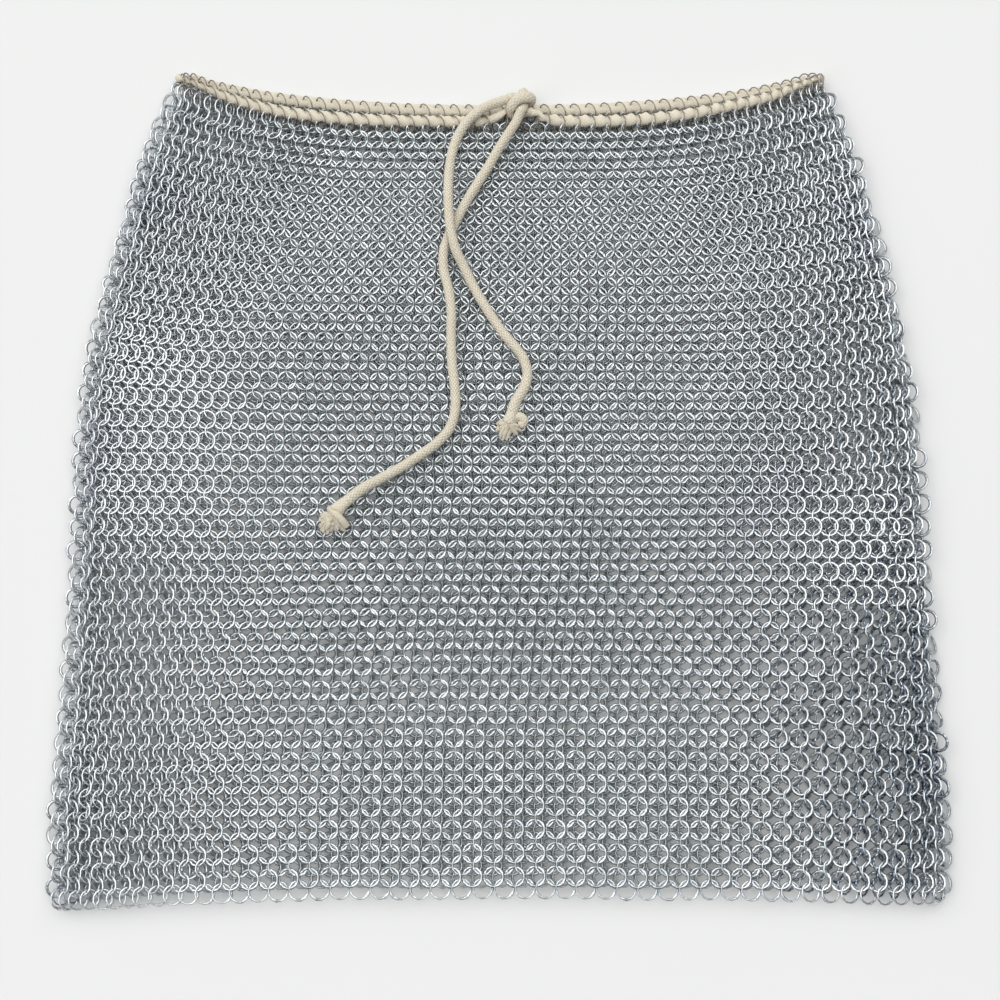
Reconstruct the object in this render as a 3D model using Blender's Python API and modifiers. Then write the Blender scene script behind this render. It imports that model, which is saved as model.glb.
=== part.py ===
"""Chainmail skirt with a drawstring, laid flat on its back.

Metres, +Z up. +X runs across the skirt to its left hand side as seen from above, +Y from the hem to
the waist. The origin is under the middle of the skirt, on the surface it lies on.
"""

import math

import bmesh
import bpy
from mathutils import Vector

# ---------------------------------------------------------------- driving sizes
MM = 0.001
MAIL_THICK = 5.7 * MM       # one layer of the 4-in-1 weave, its rings lying at their slant
LAYER_GAP = 0.6 * MM        # between the front layer and the back layer
FOLD_STEPS = 6              # facets round each side fold
FRONT_STEPS = 30            # facets across the front layer
BACK_STEPS = 16             # facets across the back layer
SEAM_GAP = 0.3 * MM         # between pieces that touch

CORD = 6.2 * MM             # diameter of the cotton drawstring
CORD_STEP = 15 * MM         # between the points of a cord's tube
BACK_RUN_Z = 3.5 * MM       # centre of the cord at the back waist
FRONT_RUN_Z = 9.6 * MM      # centre of the cord at the front waist
TAIL_Z = 15.5 * MM          # centre of a cord end that lies on the front layer
CROSSING_Z = 22.1 * MM      # centre of the upper cord end where the two cross

BACK_LAYER_Z = MAIL_THICK / 2 + 0.02 * MM
FOLD_RADIUS = (MAIL_THICK + LAYER_GAP) / 2
FRONT_LAYER_Z = BACK_LAYER_Z + 2 * FOLD_RADIUS
EDGE_RADIUS = FOLD_RADIUS + MAIL_THICK / 2

# The skirt's rows from waist to hem, in millimetres.
# left_y and right_y are a row's height at the two side folds, middle_y at the centre front.
# left_x and right_x are the outlines. curve is how late the row turns up towards the sides.
ROWS = (
    # name          left_y  middle_y  right_y  left_x  right_x  curve
    ("waist",        269.5,   241.0,   269.5,  -225.0,   225.0,  3.4),
    ("yoke",         231.0,   202.0,   230.0,  -243.0,   242.5,  3.8),
    ("high_hip",     190.5,   158.0,   186.5,  -252.5,   254.0,  3.4),
    ("hip",          148.5,   114.5,   141.0,  -263.5,   264.5,  3.0),
    ("seat",          96.0,    61.5,    85.0,  -274.0,   275.5,  2.8),
    ("thigh",         40.0,     6.0,    22.0,  -283.0,   281.0,  2.6),
    ("mid_thigh",    -22.0,   -51.0,   -42.0,  -282.0,   282.5,  2.5),
    ("above_knee",   -88.5,  -110.5,  -104.5,  -283.5,   284.0,  2.4),
    ("knee",        -158.5,  -172.0,  -168.0,  -284.8,   286.0,  2.3),
    ("below_knee",  -220.5,  -224.0,  -223.5,  -288.5,   288.5,  2.2),
    ("hem",         -279.8,  -272.3,  -277.5,  -286.0,   285.5,  2.2),
)
SECTIONS_PER_ROW = 2        # lofted sections from one named row to the next
WAIST_DROP = 9.3            # how far the front waist hangs below the back waist, mm
WAIST_DROP_ENDS = 0.10      # share of the length in which that drop fades away

# Soft ridges in the front layer, in millimetres: middle of the ridge, its heading in degrees,
# its half length, its half width and its height.
RIDGES = (
    # name             x       y    heading  reach  spread  rise
    ("knee_ridge",   205.0,  -190.0,   62.0,   62.0,  11.0,  2.6),
    ("hem_ridge",    232.0,  -226.0,   48.0,   50.0,  10.0,  2.2),
    ("corner_ridge", 168.0,  -228.0,   70.0,   45.0,  10.0,  1.8),
    ("left_ridge",  -243.0,  -190.0,   84.0,   80.0,  14.0,  1.4),
)

# Routes of the drawstring, in millimetres. z is left to the layer that the stretch lies on.
FRONT_RUN = (
    # x       y
    (46.0, 245.2),
    (80.0, 245.4),
    (115.0, 248.2),
    (147.0, 253.8),
    (180.0, 261.2),
    (200.0, 267.6),
    (210.0, 271.3),
)
BACK_RUN = (
    # x       y
    (210.0, 276.6),
    (197.0, 271.8),
    (165.0, 264.6),
    (131.0, 260.0),
    (99.0, 257.0),
    (60.0, 254.8),
    (10.0, 254.0),
    (-50.0, 254.4),
    (-99.0, 257.0),
    (-131.0, 260.0),
    (-165.0, 264.6),
    (-197.0, 271.8),
    (-210.0, 276.6),
)
CORNER_LIFT = 1.8           # how far the front run rises at the corners, mm
CORNER_TIP_X = 219.6
CORNER_TIP_Y = 276.0

# Where the front run comes up out of the rings and into the knot, on the right and on the left.
INTO_KNOT_RIGHT = (
    # x       y      z
    (22.2, 249.2, 12.2),
    (31.0, 246.4, 10.4),
)
INTO_KNOT_LEFT = (
    # x       y      z
    (-46.0, 245.2, 9.6),
    (-22.0, 245.0, 9.6),
    (-4.0, 247.2, 10.6),
    (8.0, 251.0, 12.2),
)
KNOT_CENTRE = (16.0, 256.5, 14.6)
KNOT_RADII = (9.0, 8.0, 6.0)

# The shorter end crosses over the longer one. lift is 1 where it rides on top of the other.
SHORT_END = (
    # x       y      lift
    (6.0, 257.2, 0.24),
    (-3.0, 254.3, 0.22),
    (-13.0, 248.4, 0.20),
    (-22.4, 240.4, 0.18),
    (-29.0, 229.5, 0.05),
    (-33.0, 216.0, 0.05),
    (-34.6, 200.0, 0.35),
    (-34.7, 186.0, 0.8),
    (-34.0, 173.0, 1.0),
    (-32.6, 161.0, 1.0),
    (-29.4, 149.3, 0.75),
    (-24.6, 139.5, 0.3),
    (-18.5, 127.0, 0.05),
    (-12.6, 116.1, 0.0),
    (-6.0, 105.2, 0.0),
    (1.2, 94.4, 0.0),
    (8.8, 85.2, 0.0),
    (15.0, 76.7, 0.0),
    (18.2, 66.5, 0.0),
    (16.4, 56.4, 0.15),
    (11.4, 46.8, 0.38),
    (9.0, 38.6, 0.38),
)
LONG_END = (
    # x       y      lift
    (14.0, 248.2, 0.20),
    (10.6, 240.6, 0.06),
    (5.2, 232.0, 0.0),
    (-1.4, 221.2, 0.0),
    (-9.0, 207.4, 0.0),
    (-17.0, 194.2, 0.0),
    (-23.6, 182.6, 0.0),
    (-29.6, 170.6, 0.0),
    (-34.8, 159.6, 0.0),
    (-37.8, 148.4, 0.0),
    (-37.4, 136.2, 0.0),
    (-34.6, 124.6, 0.0),
    (-32.4, 110.0, 0.0),
    (-32.4, 92.0, 0.0),
    (-31.8, 74.0, 0.0),
    (-29.8, 56.0, 0.0),
    (-29.4, 42.0, 0.0),
    (-32.6, 29.6, 0.0),
    (-40.6, 19.6, 0.0),
    (-51.4, 11.6, 0.0),
    (-64.0, 3.0, 0.0),
    (-77.6, -5.0, 0.15),
    (-89.6, -12.8, 0.38),
    (-99.4, -21.6, 0.38),
)

# A knotted, frayed cord end as a turned profile: distance from the cord, radius, both in mm.
FRAYED_PROFILE = (
    # along  radius
    (0.0, 3.1),
    (1.6, 4.6),
    (4.2, 5.6),
    (7.2, 5.3),
    (9.6, 3.9),
    (13.0, 4.3),
    (17.0, 5.2),
    (20.5, 4.4),
)
FRAYED_SIDES = 16


# ---------------------------------------------------------------- helpers
def smooth_through(points, step):
    """Points every step or so along a smooth curve through the given ones."""
    padded = [points[0] * 2 - points[1], *points, points[-1] * 2 - points[-2]]
    fine = []
    for i in range(1, len(padded) - 2):
        before, start, end, after = padded[i - 1:i + 3]
        for k in range(12):
            t = k / 12
            fine.append(
                0.5 * (
                    2 * start
                    + (end - before) * t
                    + (2 * before - 5 * start + 4 * end - after) * t * t
                    + (3 * start - before - 3 * end + after) * t ** 3
                )
            )
    fine.append(points[-1].copy())
    along = [0.0]
    for a, b in zip(fine, fine[1:]):
        along.append(along[-1] + (b - a).length)
    count = max(2, round(along[-1] / step))
    spaced = []
    place = 0
    for k in range(count + 1):
        want = along[-1] * k / count
        while place < len(along) - 2 and along[place + 1] < want:
            place += 1
        share = (want - along[place]) / (along[place + 1] - along[place])
        spaced.append(fine[place].lerp(fine[place + 1], share))
    return spaced


def smooth_value(values, at):
    """The value at a place between the entries of a list, on a smooth curve through them."""
    i = min(int(at), len(values) - 2)
    t = at - i
    before = values[i - 1] if i > 0 else 2 * values[0] - values[1]
    after = values[i + 2] if i + 2 < len(values) else 2 * values[-1] - values[-2]
    start = values[i]
    end = values[i + 1]
    return 0.5 * (
        2 * start
        + (end - before) * t
        + (2 * before - 5 * start + 4 * end - after) * t * t
        + (3 * start - before - 3 * end + after) * t ** 3
    )


def material(name, colour, roughness, metallic):
    made = bpy.data.materials.new(name)
    made.use_nodes = True
    shader = made.node_tree.nodes["Principled BSDF"]
    shader.inputs["Base Color"].default_value = (*colour, 1.0)
    shader.inputs["Roughness"].default_value = roughness
    shader.inputs["Metallic"].default_value = metallic
    made.diffuse_color = (*colour, 1.0)
    return made


def into_part(made, surface):
    """Gives a finished object its material and its place in the skirt's collection."""
    made.data.materials.clear()
    made.data.materials.append(surface)
    for holder in list(made.users_collection):
        holder.objects.unlink(made)
    skirt.objects.link(made)
    return made


def cord_tube(name, points):
    """A closed cord: a curve with a round bevel and filled ends."""
    curve = bpy.data.curves.new(name, "CURVE")
    curve.dimensions = "3D"
    curve.bevel_depth = CORD / 2
    curve.bevel_resolution = 2
    curve.use_fill_caps = True
    spline = curve.splines.new("POLY")
    spline.points.add(len(points) - 1)
    for place, point in zip(spline.points, points):
        place.co = (*point, 1.0)
    made = bpy.data.objects.new(name, curve)
    bpy.context.scene.collection.objects.link(made)
    return into_part(made, cotton)


# ---------------------------------------------------------------- the mail tube
def row_sizes(at):
    """The sizes of the row at a place along the rows table, in metres."""
    columns = list(zip(*ROWS))[1:]
    left_y, middle_y, right_y, left_x, right_x, curve = (smooth_value(c, at) for c in columns)
    return left_y * MM, middle_y * MM, right_y * MM, left_x * MM, right_x * MM, curve


def ridge_rise(x, y):
    """How far the front layer stands up at a place, from the ridges table."""
    rise = 0.0
    for _, middle_x, middle_y, heading, reach, spread, height in RIDGES:
        turn = math.radians(heading)
        dx = x - middle_x * MM
        dy = y - middle_y * MM
        along = (dx * math.cos(turn) + dy * math.sin(turn)) / (reach * MM)
        across = (dy * math.cos(turn) - dx * math.sin(turn)) / (spread * MM)
        rise = max(rise, height * MM * math.exp(-along ** 2 - across ** 2))
    return rise


def mail_section(at):
    """One closed ring of points round the middle of the mail's thickness."""
    left_y, middle_y, right_y, left_x, right_x, curve = row_sizes(at)
    down = at / (len(ROWS) - 1)
    middle_x = (left_x + right_x) / 2
    half = (right_x - left_x) / 2 - EDGE_RADIUS
    fold_z = (BACK_LAYER_Z + FRONT_LAYER_Z) / 2
    drop = WAIST_DROP * MM * max(0.0, 1 - down / WAIST_DROP_ENDS)

    def height(u):
        side_y = left_y if u < 0 else right_y
        return middle_y + (side_y - middle_y) * abs(u) ** curve

    ring = []
    for i in range(FRONT_STEPS + 1):
        u = math.sin(math.pi * (i / FRONT_STEPS - 0.5) * 0.86) / math.sin(math.pi * 0.43)
        x = middle_x + half * u
        y = height(u)
        edge = 1 - abs(u) ** 8
        ring.append(Vector((x, y, FRONT_LAYER_Z + ridge_rise(x, y) * edge)))
    for i in range(1, FOLD_STEPS):
        turn = math.pi * (0.5 - i / FOLD_STEPS)
        x = middle_x + half + FOLD_RADIUS * math.cos(turn)
        ring.append(Vector((x, right_y, fold_z + FOLD_RADIUS * math.sin(turn))))
    for i in range(BACK_STEPS + 1):
        u = 1 - 2 * i / BACK_STEPS
        y = height(u) + drop * (1 - abs(u) ** 10)
        ring.append(Vector((middle_x + half * u, y, BACK_LAYER_Z)))
    for i in range(1, FOLD_STEPS):
        turn = math.pi * (0.5 + (FOLD_STEPS - i) / FOLD_STEPS)
        x = middle_x - half + FOLD_RADIUS * math.cos(turn)
        ring.append(Vector((x, left_y, fold_z + FOLD_RADIUS * math.sin(turn))))
    return ring


def mail_tube():
    shell = bmesh.new()
    rings = []
    last = (len(ROWS) - 1) * SECTIONS_PER_ROW
    for k in range(last + 1):
        rings.append([shell.verts.new(p) for p in mail_section(k / SECTIONS_PER_ROW)])
    for upper, lower in zip(rings, rings[1:]):
        for i in range(len(upper)):
            j = (i + 1) % len(upper)
            shell.faces.new((upper[i], lower[i], lower[j], upper[j]))
    bmesh.ops.recalc_face_normals(shell, faces=shell.faces)
    mesh = bpy.data.meshes.new("mail_tube")
    shell.to_mesh(mesh)
    shell.free()
    made = bpy.data.objects.new("mail_tube", mesh)
    bpy.context.scene.collection.objects.link(made)
    wall = made.modifiers.new("wall", "SOLIDIFY")
    wall.thickness = MAIL_THICK
    wall.offset = 0.0
    wall.use_even_offset = True
    wall.use_rim = True
    return into_part(made, zinc)


# ---------------------------------------------------------------- the drawstring
def waist_cord():
    """The cord in the top row: front run, corner, back run, corner, front run."""
    front = []
    for x, y in FRONT_RUN:
        lift = CORNER_LIFT * (x / 210.0) ** 6
        front.append(Vector((x, y, FRONT_RUN_Z / MM + lift)))
    right_front = [Vector(p) for p in INTO_KNOT_RIGHT] + front
    left_front = [Vector((-p.x, p.y, p.z)) for p in reversed(front[1:])]
    left_front += [Vector(p) for p in INTO_KNOT_LEFT]
    back = [Vector((x, y, BACK_RUN_Z / MM)) for x, y in BACK_RUN]
    high = FRONT_RUN_Z / MM + CORNER_LIFT
    low = BACK_RUN_Z / MM
    corner = []
    for share in (0.25, 0.5, 0.75):
        out = math.sin(math.pi * share)
        corner.append((
            213.6 + (CORNER_TIP_X - 213.6) * out,
            272.4 + (CORNER_TIP_Y - 272.4) * out + 3.0 * share - 1.5 * out,
            high + (low - high) * (1 - math.cos(math.pi * share)) / 2,
        ))
    right_corner = [Vector(p) for p in corner]
    left_corner = [Vector((-x, y, z)) for x, y, z in reversed(corner)]
    route = right_front + right_corner + back + left_corner + left_front
    return cord_tube("waist_cord", [p * MM for p in tidy_route(route)])


def tidy_route(route):
    """Close points where the cord turns back on itself, and wide ones elsewhere."""
    fine = smooth_through(route, 1.5)
    kept = [fine[0]]
    for i in range(1, len(fine) - 1):
        ahead = fine[i + 1] - fine[i]
        behind = fine[i] - kept[-1]
        bend = ahead.angle(behind)
        if behind.length >= CORD_STEP / MM or (bend > 0.30 and behind.length > 1.4):
            kept.append(fine[i])
    kept.append(fine[-1])
    return kept


def waist_knot():
    bpy.ops.mesh.primitive_uv_sphere_add(segments=18, ring_count=10, radius=1.0)
    made = bpy.context.object
    made.name = "waist_knot"
    made.scale = Vector(KNOT_RADII) * MM
    bpy.ops.object.transform_apply(location=False, rotation=False, scale=True)
    made.location = Vector(KNOT_CENTRE) * MM
    made.data.shade_smooth()
    return into_part(made, cotton)


def tail_route(table):
    rise = CROSSING_Z - TAIL_Z
    return [Vector((x * MM, y * MM, TAIL_Z + rise * lift)) for x, y, lift in table]


def frayed_end(name, route):
    """A knotted end, turned about the cord's own direction and lying on the front layer."""
    heading = route[-1] - route[-2]
    heading.z = 0.0
    heading.normalize()
    profile = bpy.data.meshes.new(name)
    half = bmesh.new()
    corners = [(0.0, FRAYED_PROFILE[0][0])]
    corners += [(radius, along) for along, radius in FRAYED_PROFILE]
    corners += [(0.0, FRAYED_PROFILE[-1][0])]
    made_corners = [half.verts.new((r * MM, 0.0, a * MM)) for r, a in corners]
    for a, b in zip(made_corners, made_corners[1:]):
        half.edges.new((a, b))
    bmesh.ops.spin(
        half,
        geom=half.verts[:] + half.edges[:],
        axis=(0.0, 0.0, 1.0),
        cent=(0.0, 0.0, 0.0),
        steps=FRAYED_SIDES,
        angle=math.tau,
        use_merge=True,
    )
    bmesh.ops.remove_doubles(half, verts=half.verts, dist=0.00005)
    bmesh.ops.recalc_face_normals(half, faces=half.faces)
    half.to_mesh(profile)
    half.free()
    made = bpy.data.objects.new(name, profile)
    bpy.context.scene.collection.objects.link(made)
    made.rotation_mode = "QUATERNION"
    made.rotation_quaternion = heading.to_track_quat("Z", "Y")
    made.location = route[-1] + heading * SEAM_GAP
    made.data.shade_smooth()
    return into_part(made, cotton)


# ---------------------------------------------------------------- build
for old in list(bpy.data.objects):
    bpy.data.objects.remove(old, do_unlink=True)

skirt = bpy.data.collections.new("chainmail_skirt")
bpy.context.scene.collection.children.link(skirt)
zinc = material("zinc_plated_mail", (0.46, 0.50, 0.54), 0.34, 0.95)
cotton = material("cotton_cord", (0.66, 0.56, 0.44), 0.92, 0.0)

mail_tube()
waist_cord()
waist_knot()

short_route = smooth_through(tail_route(SHORT_END), CORD_STEP)
long_route = smooth_through(tail_route(LONG_END), CORD_STEP)
cord_tube("cord_end_short", short_route)
cord_tube("cord_end_long", long_route)
frayed_end("frayed_end_short", short_route)
frayed_end("frayed_end_long", long_route)
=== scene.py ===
import bisect
import math
import random
from functools import partial

import bmesh
import bpy
from mathutils import Matrix, Vector, kdtree, noise


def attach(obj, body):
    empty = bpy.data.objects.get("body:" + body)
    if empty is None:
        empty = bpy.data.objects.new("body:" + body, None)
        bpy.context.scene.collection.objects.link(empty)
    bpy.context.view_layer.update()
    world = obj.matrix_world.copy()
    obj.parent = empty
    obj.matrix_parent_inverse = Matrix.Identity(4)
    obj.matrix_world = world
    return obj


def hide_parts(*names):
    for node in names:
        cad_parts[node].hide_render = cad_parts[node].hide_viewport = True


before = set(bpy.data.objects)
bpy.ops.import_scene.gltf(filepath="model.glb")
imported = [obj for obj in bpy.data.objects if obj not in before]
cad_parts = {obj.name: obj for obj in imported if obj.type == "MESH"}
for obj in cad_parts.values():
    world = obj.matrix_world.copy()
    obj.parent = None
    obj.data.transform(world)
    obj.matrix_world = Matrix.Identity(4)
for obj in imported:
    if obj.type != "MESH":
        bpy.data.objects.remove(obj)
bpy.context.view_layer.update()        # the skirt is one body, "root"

mm = 0.001
print("frame loaded")


def addObject(name, data):
    made = bpy.data.objects.new(name, data)
    bpy.context.scene.collection.objects.link(made)
    return made


# Camera: over the skirt, leaning ten degrees towards the hem.
cameraView = {
    "lens": 60.98,
    "sensor": 36.0,
    "target": (0.0, -0.0163, 0.0),
    "elevation": 80.0,
    "distance": 1.118,
}


def placeCamera(view):
    tilt = math.radians(view["elevation"])
    target = Vector(view["target"])
    back = Vector((0.0, -math.cos(tilt), math.sin(tilt)))
    data = bpy.data.cameras.new("camera")
    data.lens = view["lens"]
    data.sensor_width = view["sensor"]
    data.clip_end = 30
    camera = addObject("camera", data)
    camera.location = target + back * view["distance"]
    camera.rotation_euler = (-back).to_track_quat("-Z", "Y").to_euler()
    bpy.context.scene.camera = camera


placeCamera(cameraView)
print("camera placed")


# Routes of the drawstring, in millimetres, the same as in the frame.
cordSizes = {
    "diameter": 6.2,
    "backRunZ": 3.5,
    "frontRunZ": 9.6,
    "cornerLift": 1.8,
    "cornerTip": (219.6, 276.0),
    "cornerRoot": (213.6, 272.4),
    "leftSag": (2.6, 150.0, 34.0),  # how much lower the left front run hangs, where, and how widely
    "tailZ": 15.5,
    "crossingZ": 22.1,
}
frontRun = (
    (46.0, 245.2), (80.0, 245.4), (115.0, 248.2), (147.0, 253.8),
    (180.0, 261.2), (200.0, 267.6), (210.0, 271.3),
)
backRun = (
    (210.0, 276.6), (197.0, 271.8), (165.0, 264.6), (131.0, 260.0), (99.0, 257.0),
    (60.0, 254.8), (10.0, 254.0), (-50.0, 254.4), (-99.0, 257.0), (-131.0, 260.0),
    (-165.0, 264.6), (-197.0, 271.8), (-210.0, 276.6),
)
intoKnotRight = ((22.2, 249.2, 12.2), (31.0, 246.4, 10.4))
intoKnotLeft = (
    (-46.0, 245.0, 9.6), (-22.0, 244.7, 9.6), (-10.9, 244.6, 10.0),
    (-3.4, 245.9, 10.8), (2.4, 248.6, 11.8), (6.6, 252.0, 12.4),
)
# x, y and lift; lift is 1 where the shorter end rides over the longer one.
shortEnd = (
    (6.0, 256.9, 0.24), (-3.0, 254.0, 0.22), (-8.5, 251.7, 0.21),
    (-13.4, 248.8, 0.20), (-22.4, 240.6, 0.18),
    (-29.0, 229.5, 0.05), (-33.0, 216.0, 0.05), (-34.6, 200.0, 0.35), (-34.7, 186.0, 0.8),
    (-34.0, 173.0, 1.0), (-32.6, 161.0, 1.0), (-29.4, 149.3, 0.75), (-24.6, 139.5, 0.3),
    (-18.5, 127.0, 0.05), (-12.6, 116.1, 0.0), (-6.0, 105.2, 0.0), (1.2, 94.4, 0.0),
    (8.8, 85.2, 0.0), (15.0, 76.7, 0.0), (18.0, 66.5, 0.0), (16.0, 56.4, 0.15),
    (10.6, 46.8, 0.38), (7.8, 38.6, 0.38),
)
longEnd = (
    (14.0, 248.2, 0.20), (10.6, 240.6, 0.06), (5.2, 232.0, 0.0), (-1.4, 221.2, 0.0),
    (-9.0, 207.4, 0.0), (-17.0, 194.2, 0.0), (-23.6, 182.6, 0.0), (-29.6, 170.6, 0.0),
    (-34.8, 159.6, 0.0), (-37.8, 148.4, 0.0), (-37.4, 136.2, 0.0), (-34.6, 124.6, 0.0),
    (-32.4, 110.0, 0.0), (-32.4, 92.0, 0.0), (-31.8, 74.0, 0.0), (-29.8, 56.0, 0.0),
    (-29.4, 42.0, 0.0), (-32.6, 29.6, 0.0), (-40.6, 19.6, 0.0), (-51.4, 11.6, 0.0),
    (-64.0, 3.0, 0.0), (-77.6, -4.8, 0.15), (-89.6, -12.0, 0.38), (-99.4, -20.0, 0.38),
)


def lengthsAlong(points):
    along = [0.0]
    for a, b in zip(points, points[1:]):
        along.append(along[-1] + (b - a).length)
    return along


def smoothThrough(points, step):
    # a smooth curve through the points, resampled every step or so
    padded = [points[0] * 2 - points[1], *points, points[-1] * 2 - points[-2]]
    fine = []
    for i in range(1, len(padded) - 2):
        before, start, end, after = padded[i - 1:i + 3]
        for k in range(12):
            t = k / 12
            fine.append(0.5 * (
                2 * start
                + (end - before) * t
                + (2 * before - 5 * start + 4 * end - after) * t * t
                + (3 * start - before - 3 * end + after) * t ** 3
            ))
    fine.append(points[-1].copy())
    along = lengthsAlong(fine)
    count = max(2, round(along[-1] / step))
    spaced = []
    place = 0
    for k in range(count + 1):
        want = along[-1] * k / count
        while place < len(along) - 2 and along[place + 1] < want:
            place += 1
        share = (want - along[place]) / (along[place + 1] - along[place])
        spaced.append(fine[place].lerp(fine[place + 1], share))
    return spaced


def waistRoute(sizes, step):
    front = [
        Vector((x, y, sizes["frontRunZ"] + sizes["cornerLift"] * (x / 210.0) ** 6))
        for x, y in frontRun
    ]
    high = sizes["frontRunZ"] + sizes["cornerLift"]
    low = sizes["backRunZ"]
    (rootX, rootY), (tipX, tipY) = sizes["cornerRoot"], sizes["cornerTip"]
    corner = []
    for share in (0.25, 0.5, 0.75):
        out = math.sin(math.pi * share)
        corner.append((
            rootX + (tipX - rootX) * out,
            rootY + (tipY - rootY) * out + 3.0 * share - 1.5 * out,
            high + (low - high) * (1 - math.cos(math.pi * share)) / 2,
        ))
    route = [Vector(p) for p in intoKnotRight] + front
    route += [Vector(p) for p in corner]
    route += [Vector((x, y, low)) for x, y in backRun]
    route += [Vector((-x, y, z)) for x, y, z in reversed(corner)]
    sag, sagX, sagWidth = sizes["leftSag"]
    for p in reversed(front[1:]):
        lower = sag * math.exp(-(((p.x - sagX) / sagWidth) ** 2))
        route.append(Vector((-p.x, p.y - lower, p.z)))
    route += [Vector(p) for p in intoKnotLeft]
    return smoothThrough(route, step)


def tailRoute(table, sizes, step):
    rise = sizes["crossingZ"] - sizes["tailZ"]
    points = [Vector((x, y, sizes["tailZ"] + rise * lift)) for x, y, lift in table]
    return smoothThrough(points, step)


waistLine = waistRoute(cordSizes, 1.1)
shortLine = tailRoute(shortEnd, cordSizes, 1.0)
longLine = tailRoute(longEnd, cordSizes, 1.0)
print("cord routes ready")


# The weave, row by row from waist to hem: where ring centres lie, in millimetres.
ringRows = (
    # row, left y, middle y, right y, left x, right x, how late the row turns up at the sides
    (0, 274.5, 244.1, 274.5, -218.6, 218.6, 3.3),
    (6, 225.5, 202.1, 227.0, -237.8, 236.9, 3.5),
    (13, 177.0, 158.0, 177.5, -249.5, 249.4, 3.2),
    (20, 129.0, 114.5, 127.0, -261.2, 260.6, 3.4),
    (28, 69.0, 61.5, 69.0, -272.2, 270.4, 4.5),
    (36, 9.0, 6.0, 10.0, -276.3, 274.8, 4.0),
    (44, -51.5, -51.0, -50.0, -276.1, 276.3, 3.0),
    (52, -112.5, -110.5, -112.5, -277.6, 277.8, 2.6),
    (60, -174.5, -172.0, -174.5, -279.4, 279.9, 2.4),
    (67, -225.5, -222.5, -225.5, -281.9, 282.0, 2.2),
    (73, -273.9, -266.0, -271.0, -279.6, 279.1, 2.2),
)
weave = {
    "ringRadius": 6.1,          # to the middle of the wire
    "columns": 100,             # rings in a row, all round
    "rows": 74,
    "frontZ": 9.4,
    "backZ": 3.7,
    "lean": 6.0,                # slant of a ring, degrees, the other way in every second row
    "sideLean": 33.0,           # the same at the sides, where the rings are drawn together
    "foldPitch": 0.62,          # rings crowd together on the folds
    "foldLean": 50.0,
    "rimLean": ((14, 36), (28, 50)),    # of the ring in the fold itself, left and right
    "underLean": (6.0, 20.0),   # how much more the under layer leans, middle and sides
    "cordLean": 63.0,           # the top row stands up to take the cord
    "cordTurn": 27.0,
    "cordDrop": 3.1,            # how far below the cord's middle its rings hang
    "cordSink": 0.5,
    "backDrop": 9.0,            # how far the front waist hangs below the back waist
    "backColumns": (0.15, 0.25),    # how far the back layer lies off the front, middle and sides
    "backRows": (0.95, 0.5),
    "wander": 1.1,              # slow waves of the columns and rows, mm
    "proudLean": (-6.0, 12.0),  # more lean where every second row stands proud
    "proudRise": 0.9,
    "crowdShift": 0.9,          # how far up the front rings at a fold lie, and down the back ones
    "rimPitch": 12,             # how much a ring in the fold itself may nod, and slip outwards
    "rimSlip": (-1.4, 0.2),
    "cornerRing": (-1.3, -3.4, 7.6, 66.0),      # beside the cord's corner: place, level and lean
    "knotRings": (-1, 27, 243.4, 9.6, 30.0),    # under the knot: from, to, place, level and lean
    "hemLean": 0.82,
    "hemSink": (0.35, 0.15),    # at the front and at the back
    "scatter": (0.16, 0.14, 0.07, 2.0),         # sideways, along and up, mm, and slant, degrees
    "spin": (-60, 50),          # where the laps lie round the rings, degrees, and how they vary
    "seed": 11,
}
drawnSides = (
    # row, then left and right: ring pitch at the fold, as a share of the middle pitch,
    # and how far in it starts and stops to widen, as shares of the width
    (0, 0.66, -0.02, 0.32, 0.66, -0.02, 0.32),
    (13, 0.62, -0.03, 0.29, 0.62, -0.03, 0.29),
    (20, 0.62, -0.03, 0.31, 0.64, -0.03, 0.31),
    (26, 0.62, -0.03, 0.30, 0.69, -0.05, 0.33),
    (32, 0.74, -0.05, 0.37, 0.72, -0.08, 0.36),
    (38, 0.75, -0.06, 0.36, 0.72, -0.08, 0.36),
    (49, 0.72, -0.05, 0.47, 0.72, -0.08, 0.34),
    (60, 0.62, 0.0, 0.33, 0.72, -0.07, 0.26),
    (73, 0.62, 0.0, 0.33, 0.70, -0.05, 0.21),
)
proudRows = (
    # x, y, half width, half length, how far every second row lies above the next
    (-212.0, 35.0, 92.0, 92.0, 1.0),
    (250.0, -48.0, 52.0, 32.0, 1.0),
)
ridges = (
    # x, y, heading, half length, half width, rise
    (205.0, -190.0, 62.0, 62.0, 11.0, 2.6),
    (232.0, -226.0, 48.0, 50.0, 10.0, 2.2),
    (168.0, -228.0, 70.0, 45.0, 10.0, 1.8),
    (-243.0, -190.0, 84.0, 80.0, 14.0, 1.4),
)
looseSpots = (
    # x, y, half width, half length, how much looser the rings lie
    (262.0, -150.0, 22.0, 110.0, 3.6),
    (190.0, -150.0, 45.0, 60.0, 1.8),
    (262.0, 60.0, 20.0, 140.0, 1.6),
    (-245.0, -235.0, 40.0, 45.0, 1.5),
    (-240.0, 180.0, 30.0, 70.0, 0.8),
    (225.0, 215.0, 30.0, 40.0, 2.0),
)


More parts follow.
